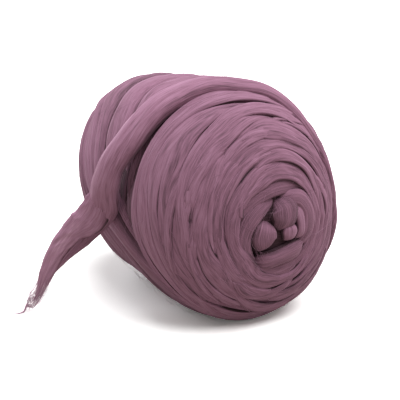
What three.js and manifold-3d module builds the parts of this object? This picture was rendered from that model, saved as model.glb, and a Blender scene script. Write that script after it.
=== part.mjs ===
// A large ball of chunky merino roving, lying on its side, with its loose end hanging down to the surface.
// Millimetres, +Z up. The ball is wound round the Y axis, and its near end, with the navel, faces -Y.
import * as THREE from "three";
import Module from "manifold-3d";
import { mergeVertices } from "three/addons/utils/BufferGeometryUtils.js";

const wasm = await Module();
wasm.setup();

// Wound form: a barrel, fuller towards its near end
const MID_RADIUS = 107;
const NEAR_SWELL = 0.155; // share by which the radius grows from the middle to the near end
const NEAR_REACH = 137; // middle to near pole
const FAR_REACH = 149; // middle to far pole
const NEAR_SQUARENESS = 2.95; // 2 is a round end, more is a squarer one
const FAR_SQUARENESS = 3.15;
const SIDE_SQUEEZE = 0.045; // share that the form is narrower across and taller up
const AXIS_TILT = -8; // height that the near pole lies above the middle
const AXIS_SWAY = 5; // distance that the near pole lies to +X of the middle

// Where the middle of the form lies in the part's frame
const MIDDLE = new THREE.Vector3(0.09, -5.32, 108);

// Grid that the ball's skin is drawn on
const ROWS = 80;
const COLUMNS = 72;
const ROW_CROWDING = 0.3; // share by which the rows stand closer at the near end and wider at the far one
const PATCH_ALONG = [-0.3, 0, 0.3]; // places by a point, in rows, over which the mean height is taken
const PATCH_AROUND = [-0.6, -0.3, 0, 0.3, 0.6]; // and in columns
const LENGTH_SAMPLES = 2000;
const POLE_MARGIN = 0.02; // the skin's first and last points lie this far from the poles
const SLOPE_STEP = 1; // length over which the slope of the form is taken
const SLOPE_TURN = 0.01; // and its angle, in radians

// Wraps: each one is the band between two creases, with a rounded back
const CREVICE_DEPTH = 10; // the deepest that a gap between wraps goes below the form
const WRAP_LAP = 1.1; // share of its width that a wrap takes, so that neighbours lie into each other
const LEAST_WIDE = 6; // a wrap narrower than this lies flat and dives under its neighbours
const DIVE_SLOPE = 0.9; // by this for each millimetre that it is narrower
const LEAST_DROP = 0.6; // rise of the flattest wrap

// Creases between the wraps: how far each one lies from the near pole along the skin, at every 30
// degrees round the ball, from +X over the top. Crowns: the height above the form of the wrap between
// a crease and the next one, at the same places, or one for all. Rise: of a wrap's back above its edges,
// where it is as wide as fullWide or wider; a narrower one is flatter
const NEAR_WRAPS = {
  rise: 4,
  fullWide: 9,
  creases: [
    [124, 126, 132, 145, 154, 155, 150, 123, 114, 112, 118, 122],
    [106, 106, 110, 121, 137, 142, 129, 115, 101, 98, 102, 105],
    [98, 100, 106, 119, 130, 129, 119, 105, 93, 90, 95, 98],
    [93, 97, 105, 119, 118, 114, 107, 94, 87, 85, 89, 92],
    [84, 87, 94, 106, 106, 104, 91, 84, 80, 76, 80, 83],
    [78, 81, 90, 101, 94, 92, 90, 83, 77, 70, 74, 77],
    [70, 72, 76, 82, 89, 77, 74, 64, 70, 64, 66, 70],
    [57, 62, 68, 74, 68, 66, 62, 59, 59, 57, 58, 57],
    [49, 50, 57, 62, 62, 65, 61, 57, 56, 55, 54, 49],
    [40, 40, 44, 48, 48, 50, 46, 40, 42, 44, 44, 41],
  ],
  crowns: [
    [-1, 0, 3, 5.5, 6, 6, 6, 5, 4, 3, 1, -1],
    [-1, -1, 3, 5.5, 5.5, 5.5, 5.5, 5, 4, 3, 2, 0],
    [0, 0, 3, 5, 5, 5, 5, 5, 4, 4, 3.5, 1],
    [1, 1, 3, 5, 5, 5, 5, 5, 5, 5.5, 5, 2.5],
    [2.5, 2, 3.5, 4.5, 4.5, 4.5, 4.5, 4.5, 4.5, 5.5, 5, 4],
    [2.5, 2, 3.5, 4, 4, 4, 4, 4, 4, 4.5, 4.5, 4],
    3.5,
    3,
    2.5,
  ],
};
const MIDDLE_WRAPS = {
  rise: 8,
  fullWide: 28,
  creases: [
    [318, 330, 335, 335, 330, 300, 262, 190, 120, 120, 180, 260],
    [282, 300, 310, 308, 300, 261, 224, 135, 95, 100, 150, 225],
    [240, 255, 262, 258, 255, 233, 193, 122, 85, 90, 130, 195],
    [215, 222, 226, 214, 221, 197, 182, 108, 80, 82, 115, 170],
    [185, 192, 195, 190, 193, 182, 172, 104, 76, 78, 102, 148],
    [154, 160, 165, 166, 178, 180, 176, 115, 90, 90, 106, 130],
    [124, 126, 132, 148, 163, 172, 168, 120, 100, 100, 112, 120],
  ],
  crowns: [
    [0, 0, -0.5, 1.5, 3, 2, 2, -5, -2, -1, 0, 0],
    [0, 0, -0.5, 0.5, 3.5, 1.5, 2, -3, -1, 0, 0, 0],
    [-1, 0, -0.5, -2, 1, -1, -5, -9, -9, -6, 0, -1],
    [-1, 0, 0, -1.5, 0, -6, -10, -11, -11, -6, 0, -1],
    [0, 1, 2, 2, 1, -5, -12, -13, -12, -8, 0, -1],
    [0, 0, 2, 2, 2, -3, -12, -13, -12, -8, 0, -1],
  ],
};
const FAR_WRAPS = {
  rise: 7,
  fullWide: 28,
  creases: [
    [345, 350, 355, 355, 352, 348, 340, 330, 325, 325, 330, 338],
    [335, 340, 345, 345, 343, 335, 322, 302, 292, 292, 302, 318],
    [325, 332, 338, 338, 335, 322, 300, 272, 258, 258, 270, 292],
    [318, 328, 334, 334, 330, 312, 280, 240, 222, 222, 235, 268],
    [312, 325, 332, 332, 328, 304, 268, 212, 186, 186, 202, 245],
    [308, 322, 330, 330, 326, 298, 260, 186, 150, 150, 180, 240],
    [300, 318, 328, 328, 320, 290, 250, 170, 116, 116, 165, 230],
  ],
  crowns: [
    [0, 0, 0, 0, 1, 1.5, 1.5, 1, 0, 0, 0, 0],
    [0, 0, 0, 0.5, 2, 1.5, 1.5, 1, 0, 0, 0, 0],
    [-1, -1, -1, 0.5, 2, 2, 2, 2, 1, 0, -1, -1],
    [-1, -1, -1, 0, 1.5, 1.5, 2, 0.5, -1, 0, -1, -1],
    [-1, -1, -1, 0, 1.5, 1.5, 2, -3.5, -3, -1, -1, -1],
    [-2, -2, -2, -1, 0, 1, 1, -5, -1.5, -2, -2, -2],
  ],
};

// Folds at the poles: the first turns, folded together. Half width, thickness, crown above the form
// and the places that the fold passes, across (+X) and up (+Z) from the pole
const FOLD_END_DROP = 0.8; // share of its thickness by which a fold's ends dive
const NEAR_FOLDS = [
  { half: 20, thick: 9, crown: -5, places: [[-32, 22], [-6, 20], [34, 12]] },
  { half: 20, thick: 9, crown: -5, places: [[-34, -6], [-6, -8], [34, -16]] },
  { half: 18, thick: 9, crown: -4, places: [[-24, -30], [4, -34], [28, -28]] },
  {
    half: 9, thick: 7, crown: 0.5,
    places: [[-47, -29], [-53, -8], [-50, 16], [-34, 32], [-9, 42], [18, 40], [36, 28]],
  },
  { half: 9, thick: 7, crown: 0.5, places: [[20, 42], [37, 26], [43, 2], [36, -22], [21, -39], [0, -48]] },
  {
    half: 9, thick: 7, crown: 0.5,
    places: [[34, -34], [19, -45], [-4, -51], [-28, -45], [-44, -31], [-52, -14]],
  },
  { half: 9, thick: 8, crown: 1, places: [[24, -30], [14, -38], [-4, -41], [-23, -38], [-36, -26]] },
  {
    half: 9, thick: 8, crown: 1.5,
    places: [[-26, -34], [-37, -22], [-41, -6], [-37, 10], [-25, 24], [-8, 31]],
  },
  { half: 8, thick: 9, crown: 3, places: [[0, 30], [10, 31], [22, 27], [31, 12], [30, -7], [22, -22]] },
  { half: 5, thick: 8, crown: 2.5, places: [[13, 26], [19, 12], [21, -2], [18, -12]] },
  { half: 8, thick: 10, crown: 2.5, places: [[8, 10], [8, 0], [6, -11]] },
  { half: 15, thick: 15, crown: 4, places: [[2, 37], [1, 25], [0, 12], [0, 1]] },
  { half: 14, thick: 13, crown: 3.5, places: [[-17, 17], [-20, 5], [-20, -8], [-16, -22]] },
  { half: 11, thick: 12, crown: 4, places: [[-32, -27], [-16, -29], [0, -28], [12, -25], [25, -18]] },
];
const FAR_FOLDS = [
  { half: 14, thick: 14, crown: 0, places: [[-46, 22], [-20, 42], [12, 44], [44, 26]] },
  { half: 14, thick: 14, crown: 0, places: [[46, -20], [24, -42], [-10, -44], [-44, -24]] },
  { half: 12, thick: 14, crown: 1, places: [[-34, 34], [-42, 4], [-36, -30]] },
  { half: 12, thick: 14, crown: 1, places: [[36, 34], [42, 2], [34, -32]] },
  { half: 15, thick: 18, crown: 3, places: [[-36, 22], [-10, 18], [16, 8], [36, -10]] },
  { half: 14, thick: 16, crown: 2, places: [[-34, -8], [-14, -14], [12, -20], [30, -28]] },
  { half: 10, thick: 12, crown: 2, places: [[2, 34], [14, 26], [30, 14]] },
];

// Flat spot on which the ball rests, cut at the surface
const FLAT_BLOCK = 400;

// Loose end: the last wrap, from where it comes out of the ball to its wispy tip on the surface.
// Each row is a point of its middle line, from the place on the surface under the middle of the form,
// then its width, its thickness and its turn from lying flat on the ball
const STRAND_SIDES = 12;
const STRAND_STEPS = 64;
const SEAT_GAP = 0.4; // clear space between the loose end and the ball
const ROUTE = [
  { x: 48, y: -76, z: 26, wide: 14, thick: 6, turn: 0 },
  { x: 60, y: -84, z: 34, wide: 18, thick: 8, turn: 0 },
  { x: 72, y: -91, z: 44, wide: 24, thick: 10, turn: 0 },
  { x: 81, y: -97, z: 64, wide: 26, thick: 13, turn: 0 },
  { x: 83, y: -102, z: 86, wide: 26, thick: 13, turn: 0 },
  { x: 81, y: -102, z: 108, wide: 26, thick: 13, turn: 0 },
  { x: 77, y: -102, z: 130, wide: 26, thick: 13, turn: 0 },
  { x: 71, y: -99, z: 152, wide: 26, thick: 14, turn: 0 },
  { x: 60, y: -93, z: 174, wide: 27, thick: 15, turn: 0 },
  { x: 47, y: -86, z: 196, wide: 28, thick: 16, turn: 0 },
  { x: 26, y: -76, z: 214, wide: 30, thick: 17, turn: 0 },
  { x: 3, y: -64, z: 220, wide: 31, thick: 18, turn: 0 },
  { x: -20, y: -52, z: 221, wide: 32, thick: 19, turn: 0 },
  { x: -42, y: -43, z: 216, wide: 33, thick: 19, turn: 0 },
  { x: -63, y: -38, z: 207, wide: 34, thick: 19, turn: -5 },
  { x: -82, y: -35, z: 191, wide: 34, thick: 19, turn: -10 },
  { x: -97, y: -31, z: 172, wide: 34, thick: 18, turn: -15 },
  { x: -107, y: -24, z: 152, wide: 34, thick: 17, turn: -22 },
  { x: -112, y: -16, z: 131, wide: 34, thick: 16, turn: -30 },
  { x: -113, y: -6, z: 111, wide: 35, thick: 15, turn: -40 },
  { x: -118, y: 6, z: 93, wide: 35, thick: 14, turn: -48 },
  { x: -131, y: 15, z: 77, wide: 34, thick: 13, turn: -55 },
  { x: -146, y: 21, z: 59, wide: 26, thick: 11, turn: -60 },
  { x: -157, y: 26, z: 39, wide: 17, thick: 9, turn: -60 },
  { x: -164, y: 31, z: 19, wide: 12, thick: 7, turn: -60 },
  { x: -172, y: 33, z: 8, wide: 8, thick: 5, turn: -60 },
  { x: -180, y: 33, z: 3, wide: 4, thick: 4, turn: -60 },
];

const SAME_POINT = 0.001; // points closer than this are one

const radians = THREE.MathUtils.degToRad;

// Middle line and radius of the form at a station from -1, the far pole, to 1, the near one
function crossSection(station) {
  const near = station > 0;
  const squareness = near ? NEAR_SQUARENESS : FAR_SQUARENESS;
  const roundness = Math.sqrt(Math.max(0, 1 - Math.abs(station) ** squareness));
  return {
    x: AXIS_SWAY * station,
    y: -(near ? NEAR_REACH : FAR_REACH) * station,
    z: AXIS_TILT * station,
    radius: MID_RADIUS * (1 + NEAR_SWELL * station) * roundness,
  };
}

// Stations against their length along the skin from the near pole
function measureSkin() {
  const samples = [{ station: 1, length: 0 }];
  let last = crossSection(1);
  for (let i = 1; i <= LENGTH_SAMPLES; i++) {
    const station = Math.cos((Math.PI * i) / LENGTH_SAMPLES);
    const next = crossSection(station);
    const step = Math.hypot(next.y - last.y, next.radius - last.radius);
    samples.push({ station, length: samples[i - 1].length + step });
    last = next;
  }
  return samples;
}

const skin = measureSkin();
const SKIN_LENGTH = skin[LENGTH_SAMPLES].length;

function stationAt(length) {
  const i = Math.max(1, skin.findIndex((sample) => sample.length >= length));
  const [a, b] = [skin[i - 1], skin[i]];
  const share = (length - a.length) / (b.length - a.length);
  return a.station + share * (b.station - a.station);
}

// Point of the bare form, from the middle of the form
function formPoint(station, angle) {
  const at = crossSection(station);
  return new THREE.Vector3(
    at.x + at.radius * (1 - SIDE_SQUEEZE) * Math.cos(angle),
    at.y,
    at.z + at.radius * (1 + SIDE_SQUEEZE) * Math.sin(angle),
  );
}

function formNormal(length, angle) {
  const before = stationAt(Math.max(POLE_MARGIN / 2, length - SLOPE_STEP));
  const after = stationAt(Math.min(SKIN_LENGTH - POLE_MARGIN / 2, length + SLOPE_STEP));
  const along = formPoint(after, angle).sub(formPoint(before, angle));
  const here = stationAt(length);
  const around = formPoint(here, angle + SLOPE_TURN).sub(formPoint(here, angle - SLOPE_TURN));
  return along.cross(around).normalize();
}

// Value at an angle round the ball, on a smooth closed line through values at even steps
function roundTheBall(values, angle) {
  if (typeof values === "number") {
    return values;
  }
  const place = (angle / (2 * Math.PI)) * values.length;
  const i = Math.floor(place);
  const t = place - i;
  const [a, b, c, d] = [-1, 0, 1, 2].map((k) => values[(i + k + values.length) % values.length]);
  return b + 0.5 * t * (c - a + t * (2 * a - 5 * b + 4 * c - d + t * (3 * (b - c) + d - a)));
}

// Height of the highest wrap over a place on the form: each falls away from its crown as a parabola
function wrapHeight(length, angle) {
  let height = -CREVICE_DEPTH;
  for (const { rise, fullWide, creases, crowns } of [NEAR_WRAPS, MIDDLE_WRAPS, FAR_WRAPS]) {
    for (let i = 0; i < crowns.length; i++) {
      const outer = roundTheBall(creases[i], angle);
      const inner = roundTheBall(creases[i + 1], angle);
      const wide = Math.max(LEAST_WIDE, outer - inner);
      const crown = roundTheBall(crowns[i], angle) - DIVE_SLOPE * (wide - (outer - inner));
      const drop = LEAST_DROP + rise * THREE.MathUtils.smoothstep(wide, LEAST_WIDE, fullWide);
      const share = (length - (outer + inner) / 2) / ((WRAP_LAP * wide) / 2);
      height = Math.max(height, crown - drop * share * share);
    }
  }
  return height;
}

// Mean height of the wraps over the patch of skin that a point of the grid stands for
function patchHeight(length, angle) {
  let sum = 0;
  for (const along of PATCH_ALONG) {
    for (const around of PATCH_AROUND) {
      sum += wrapHeight(length + (along * SKIN_LENGTH) / ROWS, angle + (around * 2 * Math.PI) / COLUMNS);
    }
  }
  return sum / (PATCH_ALONG.length * PATCH_AROUND.length);
}

// Distance of a place from the line through a fold's places, and how far along that line it is, from 0 to 1
function alongFold(across, up, places) {
  let best = { distance: Infinity, along: 0 };
  for (let i = 0; i + 1 < places.length; i++) {
    const [x, z] = places[i];
    const stepX = places[i + 1][0] - x;
    const stepZ = places[i + 1][1] - z;
    const reach = ((across - x) * stepX + (up - z) * stepZ) / (stepX * stepX + stepZ * stepZ);
    const share = THREE.MathUtils.clamp(reach, 0, 1);
    const distance = Math.hypot(across - x - share * stepX, up - z - share * stepZ);
    if (distance < best.distance) {
      best = { distance, along: (i + share) / (places.length - 1) };
    }
  }
  return best;
}

function foldHeight(point, pole, folds) {
  let height = -CREVICE_DEPTH;
  for (const { half, thick, crown, places } of folds) {
    const { distance, along } = alongFold(point.x - pole.x, point.z - pole.z, places);
    const drop = FOLD_END_DROP * thick * Math.abs(2 * along - 1) ** 4;
    height = Math.max(height, crown - drop - (thick / 2) * (distance / half) ** 2);
  }
  return height;
}

const nearPole = formPoint(1, 0);
const farPole = formPoint(-1, 0);

function ballPoint(length, angle, swell) {
  const station = stationAt(length);
  const point = formPoint(station, angle);
  const normal = formNormal(length, angle);
  const near = station > 0;
  const folds = near ? foldHeight(point, nearPole, NEAR_FOLDS) : foldHeight(point, farPole, FAR_FOLDS);
  return point.addScaledVector(normal, Math.max(folds, patchHeight(length, angle)) + swell).add(MIDDLE);
}

// Length along the skin of a row of points, closer together towards the near pole
function rowLength(row) {
  const share = row / ROWS;
  return SKIN_LENGTH * (share + ROW_CROWDING * share * (share - 1));
}

// Closed skin of rows round the axis between two poles
function ballGeometry(swell) {
  const positions = [];
  const index = [];
  const push = (point) => positions.push(point.x, point.y, point.z);
  push(ballPoint(POLE_MARGIN, 0, swell));
  for (let row = 1; row < ROWS; row++) {
    for (let column = 0; column < COLUMNS; column++) {
      push(ballPoint(rowLength(row), (2 * Math.PI * column) / COLUMNS, swell));
    }
  }
  push(ballPoint(SKIN_LENGTH - POLE_MARGIN, 0, swell));
  const last = 1 + (ROWS - 1) * COLUMNS;
  for (let column = 0; column < COLUMNS; column++) {
    const next = (column + 1) % COLUMNS;
    index.push(0, 1 + column, 1 + next);
    for (let row = 0; row < ROWS - 2; row++) {
      const a = 1 + row * COLUMNS;
      const b = a + COLUMNS;
      index.push(a + column, b + column, b + next, a + column, b + next, a + next);
    }
    index.push(last, last - COLUMNS + next, last - COLUMNS + column);
  }
  const geometry = new THREE.BufferGeometry();
  geometry.setAttribute("position", new THREE.Float32BufferAttribute(positions, 3));
  geometry.setIndex(index);
  return geometry;
}

// Closed tube with a rounded flat section that follows the route
function strandGeometry() {
  const curve = new THREE.CatmullRomCurve3(
    ROUTE.map((row) => new THREE.Vector3(MIDDLE.x + row.x, MIDDLE.y + row.y, row.z)),
    false,
    "centripetal",
  );
  const positions = [];
  const index = [];
  const push = (point) => positions.push(point.x, point.y, point.z);
  for (let step = 0; step <= STRAND_STEPS; step++) {
    const place = (step / STRAND_STEPS) * (ROUTE.length - 1);
    const row = Math.min(ROUTE.length - 2, Math.floor(place));
    const share = place - row;
    const blend = (key) => THREE.MathUtils.lerp(ROUTE[row][key], ROUTE[row + 1][key], share);
    const at = curve.getPoint(step / STRAND_STEPS);
    const tangent = curve.getTangent(step / STRAND_STEPS);
    const out = at.clone().sub(MIDDLE).setY(0);
    out.addScaledVector(tangent, -out.dot(tangent)).normalize();
    out.applyAxisAngle(tangent, radians(blend("turn")));
    const side = out.clone().cross(tangent);
    for (let i = 0; i < STRAND_SIDES; i++) {
      const angle = (2 * Math.PI * i) / STRAND_SIDES;
      const point = at.clone();
      point.addScaledVector(side, (blend("wide") / 2) * Math.cos(angle));
      point.addScaledVector(out, (blend("thick") / 2) * Math.sin(angle));
      push(point);
    }
  }
  const end = STRAND_STEPS * STRAND_SIDES;
  for (let i = 0; i < STRAND_SIDES; i++) {
    const next = (i + 1) % STRAND_SIDES;
    for (let step = 0; step < STRAND_STEPS; step++) {
      const a = step * STRAND_SIDES;
      const b = a + STRAND_SIDES;
      index.push(a + i, b + next, b + i, a + i, a + next, b + next);
    }
    if (i > 0 && i < STRAND_SIDES - 1) {
      index.push(0, i + 1, i);
      index.push(end, end + i, end + i + 1);
    }
  }
  const geometry = new THREE.BufferGeometry();
  geometry.setAttribute("position", new THREE.Float32BufferAttribute(positions, 3));
  geometry.setIndex(index);
  return geometry;
}

function toSolid(geometry) {
  const bare = geometry.clone();
  bare.deleteAttribute("normal");
  bare.deleteAttribute("uv");
  const merged = mergeVertices(bare, SAME_POINT);
  return new wasm.Manifold(
    new wasm.Mesh({
      numProp: 3,
      vertProperties: merged.getAttribute("position").array,
      triVerts: new Uint32Array(merged.index.array),
    }),
  );
}

function toMesh(name, solid, material) {
  const { vertProperties, triVerts } = solid.getMesh();
  const geometry = new THREE.BufferGeometry();
  geometry.setAttribute("position", new THREE.BufferAttribute(vertProperties, 3));
  geometry.setIndex(new THREE.BufferAttribute(triVerts, 1));
  geometry.computeVertexNormals();
  const mesh = new THREE.Mesh(geometry, material);
  mesh.name = name;
  return mesh;
}

// Everything below the surface is pressed flat
function belowSurface() {
  const block = new THREE.BoxGeometry(FLAT_BLOCK, FLAT_BLOCK, FLAT_BLOCK);
  block.translate(0, 0, -FLAT_BLOCK / 2);
  return toSolid(block);
}

const wool = new THREE.MeshStandardMaterial({ color: "#936a80", roughness: 0.95, metalness: 0 });
const looseWool = new THREE.MeshStandardMaterial({ color: "#9f7690", roughness: 0.95, metalness: 0 });

const ball = toSolid(ballGeometry(0)).subtract(belowSurface());
const strand = toSolid(strandGeometry()).subtract(toSolid(ballGeometry(SEAT_GAP)));

const yarn = new THREE.Group();
yarn.name = "chunky_merino_yarn";
yarn.add(toMesh("ball", ball, wool));
yarn.add(toMesh("loose_end", strand, looseWool));

export default yarn;
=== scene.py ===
import math
from collections import namedtuple

import bpy
import numpy as np
from bpy.props import FloatProperty, FloatVectorProperty, IntProperty, PointerProperty
from mathutils import Matrix, Vector


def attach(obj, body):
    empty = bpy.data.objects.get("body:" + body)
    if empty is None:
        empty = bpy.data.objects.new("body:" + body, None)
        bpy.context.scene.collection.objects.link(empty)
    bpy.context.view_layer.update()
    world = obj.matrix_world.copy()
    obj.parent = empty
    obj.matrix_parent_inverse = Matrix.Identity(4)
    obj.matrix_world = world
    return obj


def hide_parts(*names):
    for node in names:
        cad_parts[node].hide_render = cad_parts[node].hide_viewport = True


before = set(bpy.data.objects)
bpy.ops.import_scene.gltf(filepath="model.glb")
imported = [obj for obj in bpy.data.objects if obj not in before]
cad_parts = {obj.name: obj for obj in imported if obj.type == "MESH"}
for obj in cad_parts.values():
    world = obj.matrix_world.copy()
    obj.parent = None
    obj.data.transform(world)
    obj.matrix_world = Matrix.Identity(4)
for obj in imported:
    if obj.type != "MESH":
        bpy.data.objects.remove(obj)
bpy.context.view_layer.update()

bl_info = {
    "name": "Chunky merino yarn",
    "version": (1, 0, 0),
    "blender": (4, 5, 0),
    "location": "3D View > Sidebar > Merino yarn",
    "description": "A wound ball of thick merino roving with its loose end",
    "category": "Add Mesh",
}

MM = 0.001

# Wound form of the ball, in metres: a barrel, fuller towards its near end
MIDDLE = np.array((0.00009, -0.00532, 0.108))
MID_RADIUS = 0.107
NEAR_SWELL = 0.155
NEAR_REACH = 0.137
FAR_REACH = 0.149
NEAR_SQUARENESS = 2.95
FAR_SQUARENESS = 3.15
SIDE_SQUEEZE = 0.045
AXIS_TILT = -0.008
AXIS_SWAY = 0.005
DOWN_TO = 0.0005  # the wool pressed on the surface lies this far above it
POLE_GAP = 0.0005  # points keep this far from the very poles, where the skin has no direction

# Creases between neighbouring wraps: how far each one lies from the near pole along the skin, in mm,
# at every 30 degrees round the ball, from the right over the top
NEAR_CREASES = (
    (124, 126, 132, 145, 154, 155, 150, 123, 114, 112, 118, 122),
    (106, 106, 110, 121, 137, 142, 129, 115, 101, 98, 102, 105),
    (98, 100, 106, 119, 130, 129, 119, 105, 93, 90, 95, 98),
    (93, 97, 105, 119, 118, 114, 107, 94, 87, 85, 89, 92),
    (84, 87, 94, 106, 106, 104, 91, 84, 80, 76, 80, 83),
    (78, 81, 90, 101, 94, 92, 90, 83, 77, 70, 74, 77),
    (70, 72, 76, 82, 89, 77, 74, 64, 70, 64, 66, 70),
    (57, 62, 68, 74, 68, 66, 62, 59, 59, 57, 58, 57),
    (49, 50, 57, 62, 62, 65, 61, 57, 56, 55, 54, 49),
    (40, 40, 44, 48, 48, 50, 46, 40, 42, 44, 44, 41),
)
MIDDLE_CREASES = (
    (318, 330, 335, 335, 330, 300, 262, 190, 120, 120, 180, 260),
    (282, 300, 310, 308, 308, 269, 226, 135, 95, 100, 150, 225),
    (240, 255, 262, 262, 260, 249, 202, 122, 85, 90, 130, 195),
    (215, 222, 228, 232, 225, 201, 183, 108, 80, 82, 115, 170),
    (185, 192, 195, 190, 193, 182, 172, 104, 76, 78, 102, 148),
    (154, 160, 165, 166, 178, 180, 176, 115, 90, 90, 106, 130),
    (124, 126, 132, 148, 163, 172, 168, 120, 100, 100, 112, 120),
)
FAR_CREASES = (
    (345, 350, 355, 355, 352, 348, 340, 330, 325, 325, 330, 338),
    (335, 340, 345, 345, 343, 335, 322, 302, 292, 292, 302, 318),
    (325, 332, 338, 338, 335, 322, 300, 272, 258, 258, 270, 292),
    (318, 328, 334, 334, 330, 312, 280, 240, 222, 222, 235, 268),
    (312, 325, 332, 332, 328, 304, 268, 212, 186, 186, 202, 245),
    (308, 322, 330, 330, 326, 298, 260, 186, 150, 150, 180, 240),
    (300, 318, 328, 328, 320, 290, 250, 170, 116, 116, 165, 230),
)
# Crown of each wrap between those creases, above the form, in mm at the same places, or one for all
NEAR_CROWNS = (
    (-1, 0, 3, 5.5, 6, 6, 6, 5, 4, 3, 1, -1),
    (-1, -1, 3, 5.5, 5.5, 5.5, 5.5, 5, 4, 3, 2, 0),
    (0, 0, 3, 5, 5, 5, 5, 5, 4, 4, 3.5, 1),
    (1, 1, 3, 5, 5, 5, 5, 5, 5, 5.5, 5, 2.5),
    (2.5, 2, 3.5, 4.5, 4.5, 4.5, 4.5, 4.5, 4.5, 5.5, 5, 4),
    (2.5, 2, 3.5, 4, 4, 4, 4, 4, 4, 4.5, 4.5, 4),
    3.5, 3, 2.5,
)
MIDDLE_CROWNS = (
    (0, 0, -0.5, 2, 5.5, 1.5, 2, -5, -2, -1, 0, 0),
    (0, 0, -0.5, 0.5, 4.5, -0.5, 1, -3, -1, 0, 0, 0),
    (-1, 0, -0.5, -3, 1, -2, -5, -9, -9, -6, 0, -1),
    (-1, 0, 0, -3.5, 0, -6, -10, -11, -11, -6, 0, -1),
    (0, 1, 2, 0, 1, -5, -12, -13, -12, -8, 0, -1),
    (0, 0, 2, 0.5, 2, -3, -12, -13, -12, -8, 0, -1),
)
FAR_CROWNS = (
    (0, 0, 0, 0, 1, 1.5, 1.5, 1, 0, 0, 0, 0),
    (0, 0, 0, 0.5, 2, 1.5, 1.5, 1, 0, 0, 0, 0),
    (-1, -1, -1, 0.5, 2, 2, 2, 2, 1, 0, -1, -1),
    (-1, -1, -1, 0, 1.5, 1.5, 2, 0.5, -1, 0, -1, -1),
    (-1, -1, -1, 0, 1.5, 1.5, 2, -3.5, -3, -1, -1, -1),
    (-2, -2, -2, -1, 0, 1, 1, -5, -1.5, -2, -2, -2),
)

# Turns under them: their places from the near pole in mm, how far each one leans to and fro in mm and how
# much further round it does so than the last one in radians, then their half width and crown in mm
UNDER_TURNS = (52, 68, 84, 100, 116, 132, 150, 170, 190, 212, 234, 256, 278, 300, 322, 344)
UNDER_LEAN = 9
UNDER_LEAN_STEP = 137
UNDER_HALF = 13
UNDER_CROWN = -8.5

# Folds at the poles: half width, thickness and crown above the form in mm, how much paler the wool is
# painted, where below 0 it is painted darker as painted shade, darkest on the three deepest folds in the
# near dish, then the places that the fold passes, across and up from the pole, in mm
NEAR_FOLDS = (
    (20, 9, -5, -0.8, ((-32, 22), (-6, 20), (34, 12))),
    (20, 9, -5, -0.8, ((-34, -6), (-6, -8), (34, -16))),
    (18, 9, -4, -0.8, ((-24, -30), (4, -34), (28, -28))),
    (9, 7, 0.5, -0.1, ((-47, -29), (-53, -8), (-50, 16), (-34, 32), (-9, 42), (18, 40), (36, 28))),
    (9, 7, 0.5, -0.1, ((20, 42), (37, 26), (43, 2), (36, -22), (21, -39), (0, -48))),
    (9, 7, 0.5, -0.15, ((34, -34), (19, -45), (-4, -51), (-28, -45), (-44, -31), (-52, -14))),
    (9, 8, 1, -0.1, ((24, -30), (14, -38), (-4, -41), (-23, -38), (-36, -26))),
    (9, 8, 1.5, -0.15, ((-26, -34), (-37, -22), (-41, -6), (-37, 10), (-25, 24), (-8, 31))),
    (8, 9, 3, -0.02, ((0, 30), (10, 31), (22, 27), (31, 12), (30, -7), (22, -22))),
    (5, 8, 3, 0.15, ((13, 26), (19, 12), (21, -2), (18, -12))),
    (8, 10, 3, 0.15, ((8, 7), (8, -2), (7, -12))),
    (15, 15, 4, -0.3, ((-3, 32), (2, 23), (2, 11), (-2, -1))),
    (13, 13, 3.5, -0.22, ((-16, 12), (-19, 3), (-20, -6), (-17, -18))),
    (9.5, 12, 4, -0.15, ((-29, -29), (-17, -27.5), (-6, -25), (7, -22.5), (19, -21), (30, -22))),
)
FAR_FOLDS = (
    (14, 14, 0, -0.2, ((-46, 22), (-20, 42), (12, 44), (44, 26))),
    (14, 14, 0, -0.2, ((46, -20), (24, -42), (-10, -44), (-44, -24))),
    (12, 14, 1, -0.2, ((-34, 34), (-42, 4), (-36, -30))),
    (12, 14, 1, -0.2, ((36, 34), (42, 2), (34, -32))),
    (15, 18, 3, -0.2, ((-36, 22), (-10, 18), (16, 8), (36, -10))),
    (14, 16, 2, -0.2, ((-34, -8), (-14, -14), (12, -20), (30, -28))),
    (10, 12, 2, -0.2, ((2, 34), (14, 26), (30, 14))),
)

# Middle line of the loose end: x, y and z from the place on the surface under the middle of the ball, then
# its width, its thickness and its turn from lying flat on the ball, in mm and degrees
ROUTE = (
    (48, -76, 26, 14, 6, 0),
    (60, -84, 34, 18, 8, 0),
    (72, -91, 44, 24, 10, 0),
    (81, -97, 64, 26, 13, 0),
    (83, -102, 86, 26, 13, 0),
    (81, -102, 108, 26, 13, 0),
    (77, -102, 130, 26, 13, 0),
    (71, -99, 152, 26, 14, 0),
    (60, -93, 174, 27, 15, 0),
    (47, -86, 196, 28, 16, 0),
    (26, -76, 214, 30, 17, 0),
    (3, -64, 220, 31, 18, 0),
    (-20, -52, 221, 32, 19, 0),
    (-42, -43, 216, 33, 19, 0),
    (-63, -38, 207, 34, 19, -5),
    (-82, -35, 191, 34, 19, -10),
    (-97, -31, 172, 34, 18, -15),
    (-107, -24, 152, 34, 17, -22),
    (-112, -16, 131, 34, 16, -30),
    (-113, -6, 111, 35, 15, -40),
    (-118, 6, 93, 35, 14, -48),
    (-131, 15, 77, 34, 13, -55),
    (-146, 21, 59, 26, 11, -60),
    (-157, 26, 39, 17, 9, -60),
    (-164, 31, 19, 12, 7, -60),
    (-172, 33, 8, 8, 5, -60),
    (-180, 33, 3, 4, 4, -60),
)
# The last wisp, which curls to the left on the surface, in mm
WISP = (
    (-166, 31, 30), (-172, 33, 21), (-176.5, 32, 10.5), (-181, 31, 3), (-186, 31.5, 1.4), (-191, 33.5, 1.2),
    (-193, 34, 3),
)
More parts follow.
